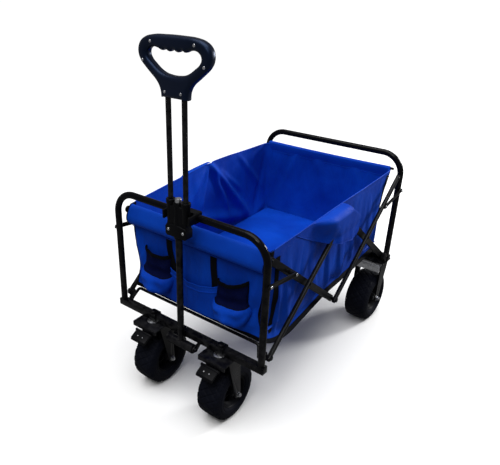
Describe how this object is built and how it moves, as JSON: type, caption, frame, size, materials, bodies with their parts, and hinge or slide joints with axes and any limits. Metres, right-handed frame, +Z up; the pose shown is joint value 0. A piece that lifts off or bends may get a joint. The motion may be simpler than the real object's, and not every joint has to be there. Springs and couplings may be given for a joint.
{
  "type": "folding wagon",
  "caption": "Collapsible folding wagon: tubular end frames on crossed side arms, a boarded fabric tub, braked swivel casters in front and a telescoping pull handle.",
  "frame": {"origin": "on the ground, at the middle of the whole wagon's plan outline", "axes": "+Z up, -Y towards the pull handle and the swivel casters, +X to the wagon's right as seen from behind the handle looking at the tub"},
  "size_m": [0.5346, 0.8974, 1.0275],
  "materials": {
    "black_paint": "satin black powder coat",
    "zinc_steel": "zinc-plated",
    "black_plastic": "satin moulded plastic",
    "hub_plastic": "moulded plastic",
    "tyre_rubber": "matt moulded tread",
    "blue_fabric": "coated woven polyester"
  },
  "bodies": {
    "rear_frame": {"rear_end_frame": "black_paint", "rear_crossbar": "black_paint", "rear_base_rod": "black_paint", "rear_top_rod": "black_paint", "rear_fork_right": "black_paint", "rear_fork_left": "black_paint", "rear_axle_right": "zinc_steel", "rear_axle_left": "zinc_steel", "tub_rear": "blue_fabric", "floor_board_rear": "blue_fabric"},
    "rear_wheel_right": {"rear_tyre_right": "tyre_rubber", "rear_hub_right": "hub_plastic"},
    "rear_wheel_left": {"rear_tyre_left": "tyre_rubber", "rear_hub_left": "hub_plastic"},
    "inner_arms_rear": {"inner_arm_rear_right": "black_paint", "inner_arm_rear_left": "black_paint", "mid_top_pin_right": "black_paint", "mid_top_pin_left": "black_paint"},
    "outer_arms_rear": {"outer_arm_rear_right": "black_paint", "outer_arm_rear_left": "black_paint", "mid_cross_rod": "black_paint"},
    "outer_arms_front": {"outer_arm_front_right": "black_paint", "outer_arm_front_left": "black_paint"},
    "inner_arms_front": {"inner_arm_front_right": "black_paint", "inner_arm_front_left": "black_paint"},
    "front_frame": {"front_end_frame": "black_paint", "front_crossbar": "black_paint", "front_base_rod": "black_paint", "front_top_rod": "black_paint", "caster_clamp_right": "black_paint", "caster_clamp_left": "black_paint", "handle_pivot": "black_paint", "parking_clip": "black_plastic", "tub_front": "blue_fabric", "floor_board_front": "blue_fabric", "cup_pocket_right": "blue_fabric", "cup_pocket_left": "blue_fabric"},
    "rear_stay_links": {"rear_stay_link_right": "black_paint", "rear_stay_link_left": "black_paint"},
    "front_stay_links": {"front_stay_link_right": "black_paint", "front_stay_link_left": "black_paint"},
    "caster_right": {"caster_fork_right": "black_paint", "caster_axle_right": "zinc_steel", "caster_stem_right": "zinc_steel"},
    "caster_left": {"caster_fork_left": "black_paint", "caster_axle_left": "zinc_steel", "caster_stem_left": "zinc_steel"},
    "front_wheel_right": {"front_tyre_right": "tyre_rubber", "front_hub_right": "hub_plastic"},
    "front_wheel_left": {"front_tyre_left": "tyre_rubber", "front_hub_left": "hub_plastic"},
    "brake_right": {"brake_lever_right": "black_plastic"},
    "brake_left": {"brake_lever_left": "black_plastic"},
    "handle": {"handle_sleeve": "black_paint", "handle_lower_tube": "blue_fabric", "slide_block": "black_plastic"},
    "telescope": {"handle_tube_right": "black_paint", "handle_tube_left": "black_paint", "handle_grip": "black_plastic"},
    "button": {"release_button": "zinc_steel"}
  },
  "joints": [
    {"name": "fold", "type": "hinge", "parent": "rear_frame", "child": "inner_arms_rear", "pos_m": [0, 0.36925, 0.254], "axis": [-1, 0, 0], "range_deg": [0, 40], "deforming": ["tub_rear", "tub_front", "floor_board_rear", "floor_board_front"]},
    {"name": "rear_crossing", "type": "hinge", "parent": "inner_arms_rear", "child": "outer_arms_rear", "pos_m": [0, 0.19175, 0.394], "axis": [-1, 0, 0], "range_deg": [-80.5, 0.5]},
    {"name": "mid_top", "type": "hinge", "parent": "inner_arms_rear", "child": "outer_arms_front", "pos_m": [0, 0.01425, 0.534], "axis": [-1, 0, 0], "range_deg": [-80.5, 0.5]},
    {"name": "front_crossing", "type": "hinge", "parent": "outer_arms_front", "child": "inner_arms_front", "pos_m": [0, -0.16325, 0.394], "axis": [-1, 0, 0], "range_deg": [-0.5, 80.5]},
    {"name": "front_foot", "type": "hinge", "parent": "outer_arms_front", "child": "front_frame", "pos_m": [0, -0.34075, 0.254], "axis": [-1, 0, 0], "range_deg": [-0.5, 40.5]},
    {"name": "rear_link", "type": "hinge", "parent": "rear_frame", "child": "rear_stay_links", "pos_m": [0, 0.39925, 0.484], "axis": [-1, 0, 0], "range_deg": [-0.5, 72.8]},
    {"name": "front_link", "type": "hinge", "parent": "front_frame", "child": "front_stay_links", "pos_m": [0, -0.37075, 0.484], "axis": [-1, 0, 0], "range_deg": [-72.8, 0.5]},
    {"name": "rear_spin_right", "type": "hinge", "parent": "rear_frame", "child": "rear_wheel_right", "pos_m": [0.212, 0.36125, 0.0875], "axis": [1, 0, 0], "continuous": true},
    {"name": "caster_swivel_right", "type": "hinge", "parent": "front_frame", "child": "caster_right", "pos_m": [0.1235, -0.38075, 0.222], "axis": [0, 0, 1], "continuous": true},
    {"name": "front_spin_right", "type": "hinge", "parent": "caster_right", "child": "front_wheel_right", "pos_m": [0.1235, -0.35075, 0.0875], "axis": [1, 0, 0], "continuous": true},
    {"name": "brake_press_right", "type": "hinge", "parent": "caster_right", "child": "brake_right", "pos_m": [0.1235, -0.42075, 0.2005], "axis": [1, 0, 0], "range_deg": [0, 12]},
    {"name": "rear_spin_left", "type": "hinge", "parent": "rear_frame", "child": "rear_wheel_left", "pos_m": [-0.212, 0.36125, 0.0875], "axis": [1, 0, 0], "continuous": true},
    {"name": "caster_swivel_left", "type": "hinge", "parent": "front_frame", "child": "caster_left", "pos_m": [-0.1235, -0.38075, 0.222], "axis": [0, 0, 1], "continuous": true},
    {"name": "front_spin_left", "type": "hinge", "parent": "caster_left", "child": "front_wheel_left", "pos_m": [-0.1235, -0.35075, 0.0875], "axis": [1, 0, 0], "continuous": true},
    {"name": "brake_press_left", "type": "hinge", "parent": "caster_left", "child": "brake_left", "pos_m": [-0.1235, -0.42075, 0.2005], "axis": [1, 0, 0], "range_deg": [0, 12]},
    {"name": "handle_swing", "type": "hinge", "parent": "front_frame", "child": "handle", "pos_m": [0, -0.39575, 0.21], "axis": [1, 0, 0], "range_deg": [0, 95]},
    {"name": "handle_telescope", "type": "slide", "parent": "handle", "child": "telescope", "axis": [0, 0, 1], "range_m": [-0.24, 0]},
    {"name": "button_press", "type": "slide", "parent": "handle", "child": "button", "axis": [0, 0, 1], "range_m": [-0.004, 0], "stiffness_N_per_m": 400}
  ],
  "couplings": [
    {"joint": "rear_crossing", "follows": "fold", "ratio": -2},
    {"joint": "mid_top", "follows": "fold", "ratio": -2},
    {"joint": "front_crossing", "follows": "fold", "ratio": 2},
    {"joint": "front_foot", "follows": "fold", "ratio": 1},
    {"joint": "rear_link", "follows": "fold", "ratio": 1.8075},
    {"joint": "front_link", "follows": "fold", "ratio": -1.8075}
  ]
}
